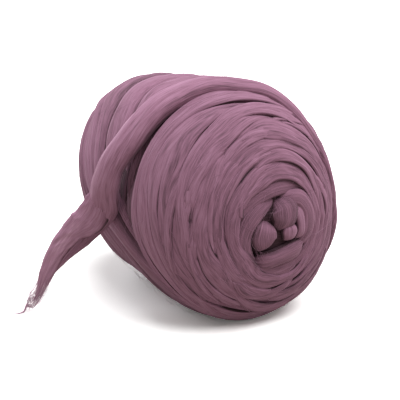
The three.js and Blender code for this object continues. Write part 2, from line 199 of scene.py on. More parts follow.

# The loose end's two strands: the last wrap, which turns under its own tail, and the tail, folded back over
# it. Each pair is a place on the route, counted in its rows, and a value there: how far the strand lies
# across the route and above it, how wide and thick it is against the route, and how much paler it is
# painted, which is painted light: the tail is painted paler, and the end of the last wrap darker where it
# turns under the tail.
LAST_WRAP = {
    "span": (0, 23.6),
    "across": (
        (0, 0), (8.5, 0), (10, -0.2), (12, -0.17), (13.4, -0.05), (15.5, -0.16), (17, -0.24), (18, -0.12),
        (19, 0.1), (20, 0.2), (21, 0.36), (22.4, 0.5), (23.6, 0.45),
    ),
    "lift": ((0, 0), (18, 0), (20, -0.1), (22, -0.1), (23.6, 0)),
    "wide": (
        (0, 1), (8.5, 1), (10, 0.82), (12, 0.85), (13.4, 0.95), (15.5, 0.88), (17, 0.8), (18, 0.86),
        (19, 0.93), (20, 0.82), (21, 0.66), (22.4, 0.4), (23.6, 0.05),
    ),
    "thick": ((0, 1), (19, 1), (21, 0.9), (22.4, 0.6), (23.6, 0.05)),
    "tone_and_painted_light": ((0, 0), (18, 0.05), (20, -0.1), (23.6, -0.1)),
    "lock_height": 0.00025,
    "upper_highlight": 0.3,
}
TAIL = {
    "span": (18, 24.8),
    "across": (
        (18, -0.4), (18.8, -0.2), (19.4, -0.12), (20, -0.18), (21, -0.4), (22, -0.33), (23, -0.1), (25, 0),
    ),
    "lift": ((18, -0.4), (18.8, 0.3), (20, 0.75), (21, 0.7), (22.5, 0.2), (25, 0)),
    "wide": (
        (18, 0.05), (18.4, 0.45), (18.9, 0.75), (19.5, 0.9), (20.3, 0.95), (21, 0.68), (22, 0.7),
        (23, 0.88), (23.5, 0.82), (24.2, 0.55), (24.6, 0.3), (24.8, 0.1),
    ),
    "thick": ((18, 0.05), (18.8, 0.5), (20, 0.85), (22, 0.9), (24, 0.5), (24.8, 0.1)),
    "tone_and_painted_light": ((18, 0.1), (19.5, 0.2), (21, 0.5), (25, 0.5)),
    "lock_height": 0.0005,
    "shaded": (18.5, 23.2),
}

# Wanders of a strand on its way round the ball: how many waves, and the height of each
CREASE_WANDER = ((3, 4, 7), (0.0005, 0.0004, 0.0002))
SPLIT_WANDER = ((1, 2, 3), (0.22, 0.16, 0.1))
WIDTH_WANDER = ((2, 3, 5, 8, 13), (0.06, 0.06, 0.05, 0.05, 0.03))
LIFT_WANDER = ((1, 2, 3, 5), (0.5, 0.5, 0.4, 0.25))
LEAN_WANDER = ((1, 2, 3), (0.6, 0.4, 0.3))
# How strongly the painted shade in the creases shows along a wrap
FADE_WANDER = ((3, 5, 8, 13), (0.4, 0.4, 0.3, 0.2))
LOCK_WANDER = ((1, 2, 3, 5, 8), (0.6, 0.4, 0.3, 0.15, 0.08))
FOLD_WANDER = ((1, 2), (0.05, 0.04))

# Locks of fibre on a strand: how far apart their ridges are in metres, and their heights against each other
LOCK_PITCHES = ((0.0041, 0.4), (0.0063, 0.8), (0.0097, 1.0), (0.015, 1.0))

# Widths of a wrap, in metres: it sinks under the first, is never less than the second, and shows as two
# strands over the third where its winding says so
NARROW_WRAP = 0.008
LEAST_WRAP = 0.004
SPLIT_WRAP = 0.014

# How a wrap is wound: the thickness of its strands, whether a wide one shows as two, how unevenly it lies,
# how square its near edge is, how far its far edge laps up over the next wrap, in metres, then the points
# over and under each ring of a strand, and how many rings it has
Winding = namedtuple("Winding", "thickness split wander squareness lap points rings",
                     defaults=((18, 6), 300))
FAR_WINDING = Winding(0.014, False, 1.0, 2.0, 0.0026)
MIDDLE_WINDING = Winding(0.022, False, 1.0, 2.0, 0.0030)
UNDER_WINDING = Winding(0.011, False, 1.0, 4.0, 0.0, (9, 4), 160)

# The loose end's middle line and its frame at each step: the place in rows of the route, the point, the
# ways across and out, the width and the thickness
Route = namedtuple("Route", "place line side out width thickness")


class WoolSettings(bpy.types.PropertyGroup):
    """Colours and fibre of the wool, with the colours of its painted shade and painted highlights"""

    base_color: FloatVectorProperty(
        name="Wool", description="Colour of the combed wool", subtype="COLOR", default=(0.25, 0.118, 0.183)
    )
    # Colour of the light fibres, and of the painted highlights on strand rims
    light_fibre_and_highlight_color: FloatVectorProperty(
        name="Light fibre and painted highlight", description="Colour of the light fibres", subtype="COLOR",
        default=(0.38, 0.205, 0.303)
    )
    # Colour of the thinnest fibres, and of the brightest painted highlights on lapping rims
    thin_fibre_and_highlight_color: FloatVectorProperty(
        name="Thin fibre and painted highlight", description="Colour of fibres so thin that light shows through them",
        subtype="COLOR", default=(0.8, 0.56, 0.69)
    )
    # The colour of the painted shade between the wraps, in the creases and under the strands
    painted_shade_color: FloatVectorProperty(
        name="Painted shade", description="Colour between the wraps", subtype="COLOR",
        default=(0.035, 0.014, 0.02)
    )
    fibre_depth: FloatProperty(
        name="Fibre depth", description="Height of the fibre grain", unit="LENGTH", default=0.0005
    )
    fibre_sway: FloatProperty(
        name="Fibre sway", description="How far the fibres wander across the strand", unit="LENGTH",
        default=0.005
    )
    sheen: FloatProperty(
        name="Sheen", description="Soft glow of the fibre ends", default=0.2, min=0, max=1
    )


class BallSettings(bpy.types.PropertyGroup):
    """Sizes of the wound strands"""

    strand_thickness: FloatProperty(
        name="Strand thickness", description="Thickness of a pressed strand", unit="LENGTH", default=0.007
    )
    lock_height: FloatProperty(
        name="Lock height", description="Height of the locks of fibre on a strand", unit="LENGTH",
        default=0.00022
    )
    lean: FloatProperty(
        name="Lean", description="How far one edge of a strand lies over its neighbour", unit="LENGTH",
        default=0.0008
    )
    crossing_locks: IntProperty(
        name="Crossing locks", description="Number of locks that slant over the near wraps", default=38
    )
    lock_width: FloatVectorProperty(
        name="Lock width", description="Least and most width of a crossing lock", size=2, unit="LENGTH",
        default=(0.005, 0.013)
    )
    fibres: IntProperty(
        name="Loose fibres", description="Number of fibres that stand off the ball", default=700
    )
    unevenness: FloatProperty(
        name="Unevenness", description="How far a strand wanders up and down", unit="LENGTH",
        default=0.0012
    )
    seed: IntProperty(name="Seed", description="Another number winds another ball", default=7)


class LooseEndSettings(bpy.types.PropertyGroup):
    """Sizes of the loose end"""

    diameter: FloatProperty(
        name="Roving", description="Width of the roving", unit="LENGTH", default=0.030
    )
    wisps: IntProperty(name="Wisps", description="Number of fibres that part at the tip", default=190)


class StageSettings(bpy.types.PropertyGroup):
    """Floor and light"""

    floor_color: FloatVectorProperty(
        name="Floor", description="Colour of the floor", subtype="COLOR", default=(0.93, 0.93, 0.93)
    )
    floor_light: FloatProperty(
        name="Floor light", description="How much brighter the floor is lit than the ball", default=1.5
    )
    floor_glow: FloatProperty(
        name="Floor glow", description="How light the floor's shadows stay", default=0.06
    )
    sun: FloatProperty(name="Top light", description="Strength of the soft top light", default=4.0)
    side_light: FloatProperty(
        name="Side light", description="Strength of the light from the left", default=1.3
    )
    fill_light: FloatProperty(
        name="Fill light", description="Strength of the light from the right", default=0.5
    )
    surround: FloatProperty(
        name="Surround", description="Strength of the light all round", default=0.32
    )


# Lines and curves

def unit(v):
    """The same directions, each one long."""
    return v / np.maximum(np.linalg.norm(v, axis=-1, keepdims=True), 1e-12)


def run_of(line):
    """Length of a line of points."""
    return float(np.linalg.norm(np.diff(line, axis=0), axis=1).sum())


def ripple(rng, turns, heights, around):
    """A smooth wander that closes on itself, for around from 0 to 1."""
    value = np.zeros_like(around)
    for turn, height in zip(turns, heights):
        value = value + height * np.cos(2 * math.pi * (turn * around + rng.random()))
    return value


def curve_between(a, b, c, d, t):
    """The smooth curve from b to c, as t goes from 0 to 1, with a before them and d after them."""
    return b + 0.5 * t * (c - a + t * (2 * a - 5 * b + 4 * c - d + t * (3 * (b - c) + d - a)))


def with_ends(points):
    """The points, with one more at each end, straight on."""
    return np.vstack((2 * points[0] - points[1], points, 2 * points[-1] - points[-2]))


def round_the_ball(values, around):
    """A smooth closed line through values at even steps, for around from 0 to 1."""
    values = np.array(values, float, ndmin=1)
    count = len(values)
    if count == 1:
        return np.full_like(around, values[0])
    place = around * count
    i = np.floor(place).astype(int)
    return curve_between(*(values[(i + k) % count] for k in (-1, 0, 1, 2)), place - i)


def smooth_path(places, steps):
    """A smooth line through a few places."""
    places = np.array(places, float)
    padded = with_ends(places)
    at = np.linspace(0, len(places) - 1, steps)
    i = np.minimum(at.astype(int), len(places) - 2)
    return curve_between(*(padded[i + k] for k in range(4)), (at - i)[:, None])


# Form

def form_level(p):
    """Below 0 inside the form, 0 on its skin; p is measured from its middle."""
    near = p[..., 1] < 0
    station = -p[..., 1] / np.where(near, NEAR_REACH, FAR_REACH)
    squareness = np.where(near, NEAR_SQUARENESS, FAR_SQUARENESS)
    x = (p[..., 0] - AXIS_SWAY * station) / (1 - SIDE_SQUEEZE)
    z = (p[..., 2] - AXIS_TILT * station) / (1 + SIDE_SQUEEZE)
    radius = MID_RADIUS * (1 + NEAR_SWELL * np.clip(station, -1.5, 1.5))
    return (x * x + z * z) / (radius * radius) + np.abs(station) ** squareness - 1


def form_normal(p):
    """The way straight out of the form at points near its skin."""
    step = 0.0002
    slope = [form_level(p + step * axis) - form_level(p - step * axis) for axis in np.eye(3)]
    return unit(np.stack(slope, -1))


def to_skin(start, toward, reach=0.4):
    """Points where rays from inside the form leave it."""
    low = np.zeros(toward.shape[:-1])
    high = np.full(toward.shape[:-1], reach)
    for _ in range(30):
        middle = (low + high) / 2
        inside = form_level(start + toward * middle[..., None]) < 0
        low = np.where(inside, middle, low)
        high = np.where(inside, high, middle)
    return start + toward * ((low + high) / 2)[..., None]


def measure_skin():
    """Stations of the form, their lengths along the skin from the near pole, their y and their radius."""
    station = np.cos(np.linspace(0, math.pi, 2001))
    y = -np.where(station > 0, NEAR_REACH, FAR_REACH) * station
    squareness = np.where(station > 0, NEAR_SQUARENESS, FAR_SQUARENESS)
    fullness = np.sqrt(np.maximum(0, 1 - np.abs(station) ** squareness))
    radius = MID_RADIUS * (1 + NEAR_SWELL * station) * fullness
    step = np.hypot(np.diff(y), np.diff(radius))
    return station, np.concatenate(([0], np.cumsum(step))), y, radius


STATIONS, LENGTHS, SKIN_Y, SKIN_RADIUS = measure_skin()


def skin_point(length, angle):
    """The point of the bare form at a length from the near pole and an angle round the ball."""
    length = np.clip(length, POLE_GAP, LENGTHS[-1] - POLE_GAP)
    station = np.interp(length, LENGTHS, STATIONS)
    y = np.interp(length, LENGTHS, SKIN_Y)
    radius = np.interp(length, LENGTHS, SKIN_RADIUS)
    x = AXIS_SWAY * station + radius * (1 - SIDE_SQUEEZE) * np.cos(angle)
    z = AXIS_TILT * station + radius * (1 + SIDE_SQUEEZE) * np.sin(angle)
    return np.stack((x, y, z), -1)


# Strands

class Wool:
    """Collects strands, then makes one mesh of them."""

    def __init__(self):
        self.points, self.quads, self.tone_and_painted_light = [], [], []
        self.fibre, self.bake = [], []
        self.count = 0

    def add(self, grid, tone_and_painted_light, length, girth, closed):
        """grid is rings by section points; the section always closes, the line of rings may."""
        rings, sides = grid.shape[:2]
        ahead = rings if closed else rings - 1
        i, j = np.meshgrid(np.arange(ahead), np.arange(sides), indexing="ij")
        here, there = i * sides, (i + 1) % rings * sides
        next_j = (j + 1) % sides
        corner = np.stack((here + j, here + next_j, there + next_j, there + j), -1)
        self.quads.append(corner.reshape(-1, 4) + self.count)
        u = np.stack((i, i, i + 1, i + 1), -1).reshape(-1, 4) / ahead
        v = np.stack((j, j + 1, j + 1, j), -1).reshape(-1, 4) / sides
        # The fibre of each strand starts at another place, so that no two look alike
        strand = len(self.bake)
        self.fibre.append(np.stack((u * length + 0.37 * strand, v * girth + 0.11 * strand), -1))
        self.bake.append(np.stack((u, v), -1))
        self.points.append(grid.reshape(-1, 3))
        self.tone_and_painted_light.append(np.broadcast_to(tone_and_painted_light, (rings, sides)).reshape(-1))
        self.count += rings * sides

    def piece(self, name, material):
        """One mesh, with a map of the fibre and a map with a row for each strand."""
        points = np.vstack(self.points) + MIDDLE
        points[:, 2] = np.maximum(points[:, 2], DOWN_TO)
        quads = np.vstack(self.quads)
        mesh = bpy.data.meshes.new(name)
        mesh.vertices.add(len(points))
        mesh.vertices.foreach_set("co", points.astype(np.float32).ravel())
        mesh.loops.add(quads.size)
        mesh.loops.foreach_set("vertex_index", quads.astype(np.int32).ravel())
        mesh.polygons.add(len(quads))
        mesh.polygons.foreach_set("loop_start", np.arange(0, quads.size, 4, dtype=np.int32))
        mesh.update(calc_edges=True)
        mesh.polygons.foreach_set("use_smooth", np.ones(len(quads), dtype=bool))
        total = len(self.bake)
        margin = 0.04
        bake = [np.stack((m[..., 0], (n + margin + (1 - 2 * margin) * m[..., 1]) / total), -1)
                for n, m in enumerate(self.bake)]
        for title, corners in (("OFBake", bake), ("Fibre", self.fibre)):
            layer = mesh.uv_layers.new(name=title, do_init=False)
            layer.uv.foreach_set("vector", np.vstack(corners).astype(np.float32).ravel())
        # The Tint attribute holds each point's own tone, with the painted shade and painted highlights of
        # its strand
        tone_and_painted_light = mesh.attributes.new("Tint", "FLOAT", "POINT")
        tone_and_painted_light.data.foreach_set("value", np.concatenate(self.tone_and_painted_light).astype(np.float32))
        mesh.validate()
        mesh.materials.append(material)
        ob = bpy.data.objects.new(name, mesh)
        bpy.context.scene.collection.objects.link(ob)
        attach(ob, "root")
        return ob


def section(top, under, squareness, far_squareness=None):
    """Across and up shares of the points round a pressed strand, finer over its top."""
    over = np.sin(np.linspace(1, -1, top + 1)[:-1] * math.pi / 2)
    below = np.linspace(-1, 1, under + 1)[:-1]
    across = np.concatenate((over, below))
    power = np.where(across > 0, far_squareness or squareness, squareness)
    up = (1 - np.abs(across) ** power) ** (1 / power)
    up[top:] *= -1
    return across, up


def locks(rng, across, along, width, height):
    """Low ridges of fibre that run along a strand and wander across it."""
    value = np.zeros(np.broadcast_shapes(across.shape, along.shape))
    for pitch, share in LOCK_PITCHES:
        drift = ripple(rng, *LOCK_WANDER, along)
        value = value + share * np.cos(2 * math.pi * (across * width / 2 / pitch + drift + rng.random()))
    return height * value


def dome(v):
    """How much of the ridges shows round a strand: all of them on its back, none on its edges."""
    return np.clip(v, 0, 1) ** 0.5


def edge_shade_and_highlight(rng, u, around, lap):
    """How much darker a strand is painted across its width, from its near edge at -1 to its far edge at 1:
    painted shade in the creases and painted highlights on the rims.
    """
    if lap:
        # Painted shade in the near crease, and a painted highlight on the edge that stands up
        return np.where(u < 0, 0.8 * np.abs(u) ** 3, -1.1 * u ** 8)[None, :] - 0.22 * u
    # Painted shade in both creases, fading in and out along the wrap, with a painted highlight just inside
    # each edge
    fade = np.clip(0.85 + ripple(rng, *FADE_WANDER, around), 0.2, 1.6)
    return fade[:, None] * np.abs(u) ** 14 - 0.3 * (np.abs(u) ** 4 - np.abs(u) ** 12)


def wind(wool, rng, outer, inner, crown, winding, ball):
    """A wrap between two creases, as strands that lie side by side."""
    # Each strand starts and ends at the bottom, where the join of its fibre isn't seen
    around = 0.75 + np.linspace(0, 1, winding.rings, endpoint=False)
    angle = 2 * math.pi * around
    outer, inner = (round_the_ball(crease, around) * MM + ripple(rng, *CREASE_WANDER, around)
                    for crease in (outer, inner))
    # A wrap sinks between its neighbours where it is narrow
    width = outer - inner
    level = round_the_ball(crown, around) * MM - 0.9 * np.clip(NARROW_WRAP - width, 0, 0.012)
    width = np.maximum(width, LEAST_WRAP)
    middle = (outer + inner) / 2
    u, v = section(*winding.points, winding.squareness, 4.0)
    if winding.split and float(np.median(width)) > SPLIT_WRAP:
        share = 0.08 + ripple(rng, *SPLIT_WANDER, around)
        parts = ((share, 1), (-1, share))
    else:
        parts = ((-1, 1),)
    for low, high in parts:
        here = middle + width / 2 * (low + high) / 2
        spare = (1.15 if winding.split else 1.02) + ripple(rng, *WIDTH_WANDER, around)
        half = width / 2 * (high - low) / 2 * spare
        length = here[:, None] + half[:, None] * u
        skin = skin_point(length, angle[:, None])
        thick = np.minimum(winding.thickness, 0.45 * half * 2 + 0.003)[:, None]
        lift = ripple(rng, *LIFT_WANDER, around) * ball.unevenness * winding.wander
        size = float(np.mean(half)) * 2
        ridges = locks(rng, u[None, :], around[:, None], size, ball.lock_height) * dome(v)
        lean = ripple(rng, *LEAN_WANDER, around) * ball.lean
        height = (level + lift)[:, None] + lean[:, None] * u + winding.lap * (u - 0.4)
        height = height + thick / 2 * (v - 1) + ridges
        # A random tone for each strand, with painted shade in the creases, on the underside and the deeper
        # a wrap lies, and painted highlights on its rims
        edge = edge_shade_and_highlight(rng, u, around, winding.lap)
        sunk = np.clip(-0.003 - level, 0, 0.01)[:, None]
        shade = rng.uniform(-0.12, 0.12) - np.where(v < 0, 0.9, edge) - 75 * sunk
        girth = run_of(np.vstack((skin[:, 0], skin[:1, 0])))
        wool.add(skin + form_normal(skin) * height[..., None], shade, girth, 2 * size, True)


def band_level(length, angle):
    """Crown of the near wraps at a length along the skin and an angle round the ball."""
    around = (angle / (2 * math.pi)) % 1
    level = np.full_like(length, -2 * MM)
    for outer, inner, crown in zip(NEAR_CREASES, NEAR_CREASES[1:], NEAR_CROWNS):
        high, low, top = (round_the_ball(row, around) * MM for row in (outer, inner, crown))
        level = np.where((length <= high) & (length >= low), top, level)
    return level


def crossing_lock(wool, rng, length, angle, ball):
    """A thin lock that comes up between two strands, crosses them at a slant and dives again."""
    t = np.linspace(-1, 1, len(length))
    u, v = section(12, 4, 2.4)
    half = 0.5 * rng.uniform(*ball.lock_width) * (1 - t ** 4) + 0.0003
    place = length[:, None] + half[:, None] * u
    skin = skin_point(place, angle[:, None])
    thick = 0.004
    proud = rng.uniform(0.0002, 0.0011)
    top = band_level(length, angle) + proud - 0.0035 * np.abs(t) ** 3
    ridges = locks(rng, u[None, :], (t[:, None] + 1) / 8, float(half.max()) * 2, ball.lock_height)
    height = top[:, None] + thick / 2 * (v - 1) + ridges * dome(v)
    # A random tone, with painted shade on the lock's edges and underside
    shade = rng.uniform(-0.12, 0.14) - np.where(v < 0, 0.9, 0.8 * np.abs(u) ** 6)[None, :]
    grid = skin + form_normal(skin) * height[..., None]
    wool.add(grid, shade, run_of(grid[:, 6]), 4 * float(half.max()), False)


def fold_on_pole(wool, rng, fold, pole, facing, ball):
    """A short fold that lies in the dish at a pole, on the skin along its places."""
    half, thick, crown, tone_and_painted_light, places = fold
    path = smooth_path(places, 12 * len(places)) * MM
    t = np.linspace(-1, 1, len(path))
    inside = np.stack((pole[0] + path[:, 0], np.full(len(path), facing * 0.04), pole[2] + path[:, 1]), -1)
    line = to_skin(inside, np.broadcast_to(np.array((0.0, facing, 0.0)), inside.shape))
    # Short folds taper along their whole length, and long ones near their ends
    plump = 2.4 if len(places) < 5 else 5
    taper = np.clip(1 - np.abs(t) ** plump, 0.02, 1) ** 0.5
    width = 2 * half * MM * (1 + ripple(rng, *FOLD_WANDER, (t + 1) / 2))
    thickness = thick * MM
    top = crown * MM - 0.8 * thickness * np.abs(t) ** 3.5

    out = form_normal(line)
    side = unit(np.cross(out, unit(np.gradient(line, axis=0))))
    u, v = section(24, 8, 2.6)
    spread = line[:, None, :] + side[:, None, :] * ((width * taper / 2)[:, None] * u)[..., None]
    core = (line - 0.05 * out)[:, None, :]
    skin = to_skin(core, unit(spread - core), 0.2)
    length = run_of(line)
    girth = float(np.mean(width))
    along = np.linspace(0, 1, len(line))[:, None] * min(1.0, length / 0.5)
    ridges = locks(rng, u[None, :], along, girth, 0.3 * ball.lock_height) * dome(v) * taper[:, None]
    height = top[:, None] + thickness / 2 * taper[:, None] ** 0.7 * (v - 1) + ridges
    # Painted shade on the fold's edges and underside
    shade = tone_and_painted_light - np.where(v < 0, 0.85, 0.7 * np.abs(u) ** 9)[None, :]
    wool.add(skin + form_normal(skin) * height[..., None], shade, length, 5 * girth, False)


def hair(wool, line, radius, tone_and_painted_light):
    """A single fibre: a tube with three sides along a short line, thinner at its ends."""
    ahead = unit(np.gradient(line, axis=0))
    helper = np.where(np.abs(ahead[:, 2:3]) > 0.9, np.array((1.0, 0, 0)), np.array((0, 0, 1.0)))
    side = unit(np.cross(ahead, helper))
    up = np.cross(side, ahead)
    taper = (0.35 + 0.65 * np.sin(np.linspace(0.15, math.pi - 0.05, len(line))))[:, None, None]
    angle = np.radians((0, 120, 240))[None, :, None]
    ring = side[:, None, :] * np.cos(angle) + up[:, None, :] * np.sin(angle)
    wool.add(line[:, None, :] + radius * taper * ring, tone_and_painted_light, run_of(line), 0.001, False)


# Material

def add_node(tree, kind, inputs, **settings):
    """A new node with its settings, and a value or another node's output on each of its inputs."""
    node = tree.nodes.new("ShaderNode" + kind)
    for name, value in settings.items():
        setattr(node, name, value)
    for name, value in inputs.items():
        if isinstance(value, bpy.types.NodeSocket):
            tree.links.new(value, node.inputs[name])
        else:
            node.inputs[name].default_value = value
    return node


def wool_material(name, wool, brightness=1.0):
    """Combed wool: fine fibre along the strand and paler locks, darkened by painted shade and lightened by
    painted highlights that each strand carries; brightness paints the whole copy lighter or darker.
    """
    if name in bpy.data.materials:
        return bpy.data.materials[name]
    material = bpy.data.materials.new(name)
    material.use_nodes = True
    tree = material.node_tree
    tree.nodes.clear()

    def combine(kind, first, second):
        return add_node(tree, "Math", {0: first, 1: second}, operation=kind).outputs[0]

    # The fibres follow the strand's own map, and sway a little across it
    fibre = add_node(tree, "UVMap", {}, uv_map="Fibre").outputs["UV"]
    stretch = add_node(tree, "Mapping", {"Vector": fibre, "Scale": (20, 70, 1)}).outputs["Vector"]
    sway = add_node(tree, "TexNoise", {"Vector": stretch, "Scale": 1, "Detail": 1}, noise_dimensions="2D")
    sideways = (0.0, wool.fibre_sway, 0.0)
    shift = add_node(tree, "VectorMath", {0: sway.outputs["Color"], 1: sideways, 2: fibre},
                     operation="MULTIPLY_ADD").outputs["Vector"]

    def streaks(lengthwise, across, detail, offset):
        """Noise with so many streaks to a metre along the strand and across it."""
        place = add_node(tree, "Mapping", {"Vector": shift, "Scale": (lengthwise, across, 1),
                                           "Location": (offset, offset * 0.7, 0)}).outputs["Vector"]
        return add_node(tree, "TexNoise", {"Vector": place, "Scale": 1, "Detail": detail, "Roughness": 0.6},
                        noise_dimensions="2D").outputs["Fac"]

    locks_of_wool = streaks(10, 330, 3, 0.3)
    fine = streaks(55, 1500, 3, 1.7)
    patches = streaks(6, 40, 2, 4.1)
    # Each strand's tone comes in on the Tint attribute, with its painted shade and painted highlights
    tone_and_painted_light = add_node(tree, "Attribute", {}, attribute_name="Tint").outputs["Fac"]
    tone = combine("ADD", combine("MULTIPLY", locks_of_wool, 0.65), combine("MULTIPLY", fine, 0.85))
    tone = combine("ADD", tone, combine("MULTIPLY", patches, 0.3))
    tone = combine("SUBTRACT", tone, 0.45)
    tone = combine("ADD", tone, combine("MULTIPLY", tone_and_painted_light, 0.6))
    ramp = add_node(tree, "ValToRGB", {"Fac": combine("MULTIPLY", tone, 2 / 3)})
    # The deepest stop colours the painted shade, and the light and pale stops also the painted highlights
    deep, base, light = ([c * brightness for c in color] + [1]
                         for color in (wool.painted_shade_color, wool.base_color, wool.light_fibre_and_highlight_color))
    stops = ramp.color_ramp.elements
    stops[0].position, stops[0].color = 0.0, deep
    stops[1].position, stops[1].color = 0.3, base
    for position, color in ((0.6, light), (1.0, (*wool.thin_fibre_and_highlight_color, 1))):
        stops.new(position).color = color
    grain = combine("ADD", combine("MULTIPLY", locks_of_wool, 0.7), combine("MULTIPLY", fine, 0.5))
    roughness = add_node(tree, "MapRange", {"Value": fine, "To Min": 0.72, "To Max": 0.95})
    bump = add_node(tree, "Bump", {"Height": grain, "Strength": 0.6, "Distance": wool.fibre_depth})
    shader = add_node(tree, "BsdfPrincipled", {
        "Base Color": ramp.outputs["Color"],
        "Roughness": roughness.outputs["Result"],
        "Normal": bump.outputs["Normal"],
        "Specular IOR Level": 0.25,
        "Sheen Weight": wool.sheen,
        "Sheen Roughness": 0.45,
        "Sheen Tint": (0.95, 0.62, 0.8, 1),
    })
    add_node(tree, "OutputMaterial", {"Surface": shader.outputs["BSDF"]})
    return material


def piece_of_ball(wool, name, scene, material="combed wool, wound", brightness=1.0):
    """One piece of the ball, made of the strands collected so far."""
    piece = wool.piece(name, wool_material(material, scene.yarn_wool, brightness))
    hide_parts("ball")


# Loose end

def route_of_loose_end(steps):
    """The smooth middle line of the loose end, from the middle of the ball, with its frame at each step."""
    x, y, z, wide, thick, turn = np.array(ROUTE, float).T
    points = np.column_stack((x * MM, y * MM, z * MM - MIDDLE[2]))
    padded = with_ends(points)
    place = np.linspace(0, len(points) - 1, steps)
    row = np.minimum(place.astype(int), len(points) - 2)
    share = (place - row)[:, None]
    # The rows are unevenly spaced, so the curve leans on how far apart they are
    p0, p1, p2, p3 = (padded[row + i] for i in range(4))
    gap = [np.maximum(np.linalg.norm(b - a, axis=1) ** 0.5, 1e-6)[:, None]
           for a, b in ((p0, p1), (p1, p2), (p2, p3))]
    t1 = ((p1 - p0) / gap[0] - (p2 - p0) / (gap[0] + gap[1]) + (p2 - p1) / gap[1]) * gap[1]
    t2 = ((p2 - p1) / gap[1] - (p3 - p1) / (gap[1] + gap[2]) + (p3 - p2) / gap[2]) * gap[1]
    line = (p1 + t1 * share + (-3 * p1 + 3 * p2 - 2 * t1 - t2) * share ** 2
            + (2 * p1 - 2 * p2 + t1 + t2) * share ** 3)
    ahead = unit(np.gradient(line, axis=0))
    out = line.copy()
    out[:, 1] = 0
    out = unit(out - (out * ahead).sum(1, keepdims=True) * ahead)
    rows = np.arange(len(ROUTE))
    wide, thick, turn = (np.interp(place, rows, column) for column in (wide, thick, turn))
    turn = np.radians(turn)[:, None]
    out = out * np.cos(turn) + np.cross(ahead, out) * np.sin(turn)
    return Route(place, line, np.cross(out, ahead), out, wide * MM, thick * MM)


def strand_on_route(wool, rng, route, span, across, lift, wide, thick, tone_and_painted_light, lock_height, shaded=(0, 0),
                    upper_highlight=0.0):
    """A strand along part of the route, with a painted highlight towards its upper edge as strong as
    upper_highlight, and painted shade along its lower edge where it is shaded."""
    keep = (route.place >= span[0]) & (route.place <= span[1])
    at = route.place[keep]
    share = (at - span[0]) / (span[1] - span[0])

    def along(table):
        places, values = np.array(table, float).T
        return np.interp(at, places, values)

    u, v = section(30, 18, 2.3)
    line, side, out, width = route.line[keep], route.side[keep], route.out[keep], route.width[keep]
    half = width / 2
    deep = route.thickness[keep] / 2
    middle = line + side * (along(across) * half)[:, None] + out * (along(lift) * deep)[:, None]
    girth = float(np.mean(width))
    ridges = locks(rng, u[None, :], share[:, None], girth, lock_height) / 0.008
    a = (along(wide) * half)[:, None] * u * (1 + 0.3 * ridges)
    b = (along(thick) * deep)[:, None] * v * (1 + ridges)
    grid = middle[:, None, :] + side[:, None, :] * a[..., None] + out[:, None, :] * b[..., None]
    # The painted highlight ends where the strand turns down into the fold
    glow = upper_highlight * np.where(u < 0, -2.4 * u, -0.4 * u)
    shade = along(tone_and_painted_light)[:, None] + np.clip((20.5 - at) / 2, 0, 1)[:, None] * glow[None, :]
    # Painted light: the top of the strand paler and its underside darker
    shade = shade + 0.12 * v[None, :] - 0.06
    # Painted shade along the lower edge, in the crease between the tail and the last wrap
    dark = (at > shaded[0]) & (at < shaded[1])
    shade = shade - 1.3 * dark[:, None] * np.clip(u, 0, 1)[None, :] ** 6
    wool.add(grid, shade, run_of(line), 2 * girth, False)


def tip_fibres(wool, rng, route, count):
    """Fibres that part from the tail towards its tip, so thin that they look pale."""
    steps = 8
    last = len(ROUTE) - 1
    for _ in range(count):
        first = rng.uniform(22.8, 24.6)
        at = np.linspace(first, min(last, first + rng.uniform(0.8, 2.0)), steps)
        lead, aside, upward = (np.stack([np.interp(at, route.place, way[:, i]) for i in range(3)], -1)
                               for way in (route.line, route.side, route.out))
        half = np.interp(at, route.place, route.width) / 2
        deep = np.interp(at, route.place, route.thickness) / 2
        angle = rng.uniform(0, 2 * math.pi)
        grow = np.linspace(rng.uniform(0.4, 0.8), rng.uniform(0.6, 1.8), steps)
        wobble = rng.uniform(-1, 1) * 0.0012 * np.sin(np.linspace(0, rng.uniform(2, 5), steps))
        fibre = lead + aside * (half * grow * math.cos(angle) + wobble)[:, None]
        fibre = fibre + upward * (deep * grow * math.sin(angle))[:, None]
        hair(wool, fibre, rng.uniform(0.00008, 0.00016), rng.uniform(0.9, 1.7))


def last_wisp(wool, rng, count):
    """The few fibres of the tip that curl away on the surface."""
    curl = smooth_path(WISP, 40) * MM - np.array((0, 0, MIDDLE[2]))
    for _ in range(count):
        first = rng.integers(0, 22)
        strand = curl[first:rng.integers(first + 10, 41)]
        spread = np.linspace(rng.uniform(0.0002, 0.0016), rng.uniform(0, 0.0006), len(strand))
        angle = rng.uniform(0, 2 * math.pi)
        away = np.array((0.8 * math.cos(angle), -0.5 * math.cos(angle), math.sin(angle)))
        hair(wool, strand + spread[:, None] * away, rng.uniform(0.0001, 0.00018), rng.uniform(0.5, 1.5))


class YARN_OT_camera(bpy.types.Operator):
    """Place the camera where the ball is seen from its near end and a little above"""

    bl_idname = "yarn.camera"
    bl_label = "Place the camera"

    def execute(self, context):
        azimuth, elevation, distance = math.radians(-32.5), math.radians(18), 1.25
        frame_width = 0.4
        back = Vector((math.sin(azimuth) * math.cos(elevation), -math.cos(azimuth) * math.cos(elevation),
                       math.sin(elevation)))
        right = Vector((math.cos(azimuth), math.sin(azimuth), 0))
        up = back.cross(right)
        data = bpy.data.cameras.new("camera")
        data.sensor_width = 36
        data.lens = data.sensor_width * distance / frame_width
        data.shift_x = 0.00325
        data.shift_y = -0.03675
        data.clip_start = 0.05
        data.dof.use_dof = False
        camera = bpy.data.objects.new("camera", data)
        turn = Matrix((right, up, back)).transposed().to_4x4()
        camera.matrix_world = Matrix.Translation(Vector(MIDDLE) + back * distance) @ turn
        context.scene.collection.objects.link(camera)
        context.scene.camera = camera
        return {"FINISHED"}


